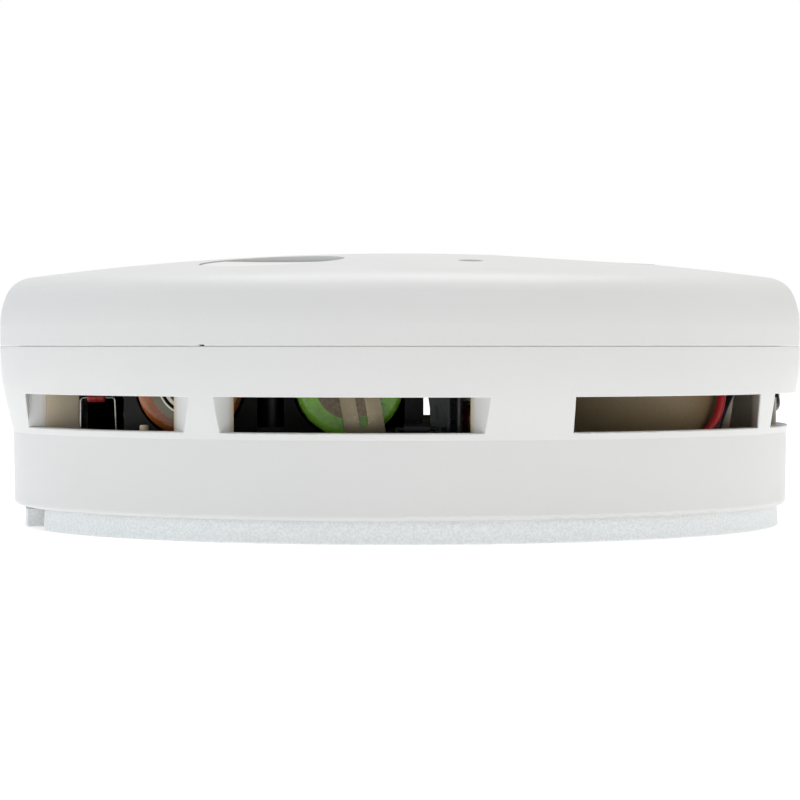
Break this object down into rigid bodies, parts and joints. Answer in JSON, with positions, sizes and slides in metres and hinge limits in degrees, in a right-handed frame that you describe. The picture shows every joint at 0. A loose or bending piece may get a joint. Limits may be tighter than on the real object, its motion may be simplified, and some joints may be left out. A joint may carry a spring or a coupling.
{
  "type": "smoke detector",
  "caption": "Round battery smoke detector with a domed front cover, vented side wall, test button and sounder, locked by a quarter-turn ring onto a low mounting plate.",
  "frame": {"origin": "centre of the mounting plate's back face, on the detector's axis", "axes": "+Z from the mounting plate to the front cover, -Y towards the side whose vents show the two cell ends, +X to the right when seen from there, where the sounder is"},
  "size_m": [0.115, 0.115, 0.0388],
  "materials": {
    "white_cover": "fine satin texture",
    "white_housing": "fine satin texture",
    "cool_white_plate": "slightly sparkling fine texture",
    "button_white": "smooth",
    "clear_pipe": "clear acrylic",
    "screw_steel": "zinc plated",
    "spring_steel": "drawn wire",
    "board_laminate": "solder mask",
    "holder_black": "moulded",
    "cell_steel": "nickel plated can",
    "sleeve_green": "shrink sleeve",
    "sleeve_orange": "shrink sleeve",
    "nickel_strip": "nickel plated",
    "chamber_black": "matt moulded",
    "screen_black": "blackened",
    "optic_clear": "tinted epoxy",
    "optic_dark": "filter epoxy",
    "horn_olive": "moulded",
    "piezo_brass": "brushed",
    "piezo_white": "silvered ceramic",
    "lead_red": "pvc insulation",
    "lead_black": "pvc insulation",
    "switch_black": "moulded",
    "lamp_red": "tinted epoxy",
    "capacitor_black": "sleeved can",
    "trimmer_grey": "moulded",
    "link_orange": "dipped coating",
    "chip_black": "moulded",
    "resistor_beige": "coated",
    "coil_copper": "enamelled wire on ferrite"
  },
  "bodies": {
    "plate": {"mounting_plate": "cool_white_plate"},
    "release_tab": {"release_tab": "cool_white_plate"},
    "detector": {"housing": "white_housing", "front_cover": "white_cover", "cover_screws": "screw_steel", "button_spring": "spring_steel", "light_pipe": "clear_pipe", "circuit_board": "board_laminate", "board_screws": "screw_steel", "battery_holder": "holder_black", "green_cell_can": "cell_steel", "green_cell_sleeve": "sleeve_green", "orange_cell_can": "cell_steel", "orange_cell_sleeve": "sleeve_orange", "green_cell_contact": "nickel_strip", "orange_cell_contact": "nickel_strip", "rear_cell_contact": "nickel_strip", "chamber_base": "chamber_black", "chamber_cap": "chamber_black", "insect_screen": "screen_black", "infrared_led": "optic_clear", "photodiode": "optic_dark", "horn_enclosure": "horn_olive", "horn_lid": "horn_olive", "piezo_disc": "piezo_brass", "piezo_ceramic": "piezo_white", "horn_lead_red": "lead_red", "horn_lead_black": "lead_black", "test_switch": "switch_black", "indicator_led": "lamp_red", "electrolytic_capacitors": "capacitor_black", "trimmer": "trimmer_grey", "signal_diode": "chip_black", "thermal_link": "link_orange", "controller_chip": "chip_black", "resistors": "resistor_beige", "sounder_coil": "coil_copper"},
    "test_button": {"test_button": "button_white"},
    "switch_plunger": {"switch_plunger": "switch_black"}
  },
  "joints": [
    {"name": "detector_twist", "type": "hinge", "parent": "plate", "child": "detector", "pos_m": [0, 0, 0], "axis": [0, 0, 1], "range_deg": [0, 15]},
    {"name": "release_tab_flex", "type": "hinge", "parent": "plate", "child": "release_tab", "pos_m": [-0.04957, 0.00964, 0.001], "axis": [0, 0, 1], "range_deg": [0, 5], "stiffness_Nm_per_rad": 0.8},
    {"name": "test_button_press", "type": "slide", "parent": "detector", "child": "test_button", "axis": [0, 0, -1], "range_m": [0, 0.0008], "stiffness_N_per_m": 2500, "springref_m": -0.0004, "deforming": ["button_spring"]},
    {"name": "switch_plunger_press", "type": "slide", "parent": "detector", "child": "switch_plunger", "axis": [0, 0, -1], "range_m": [0, 0.0008], "stiffness_N_per_m": 200}
  ],
  "couplings": [
    {"joint": "switch_plunger_press", "follows": "test_button_press", "ratio": 1}
  ]
}
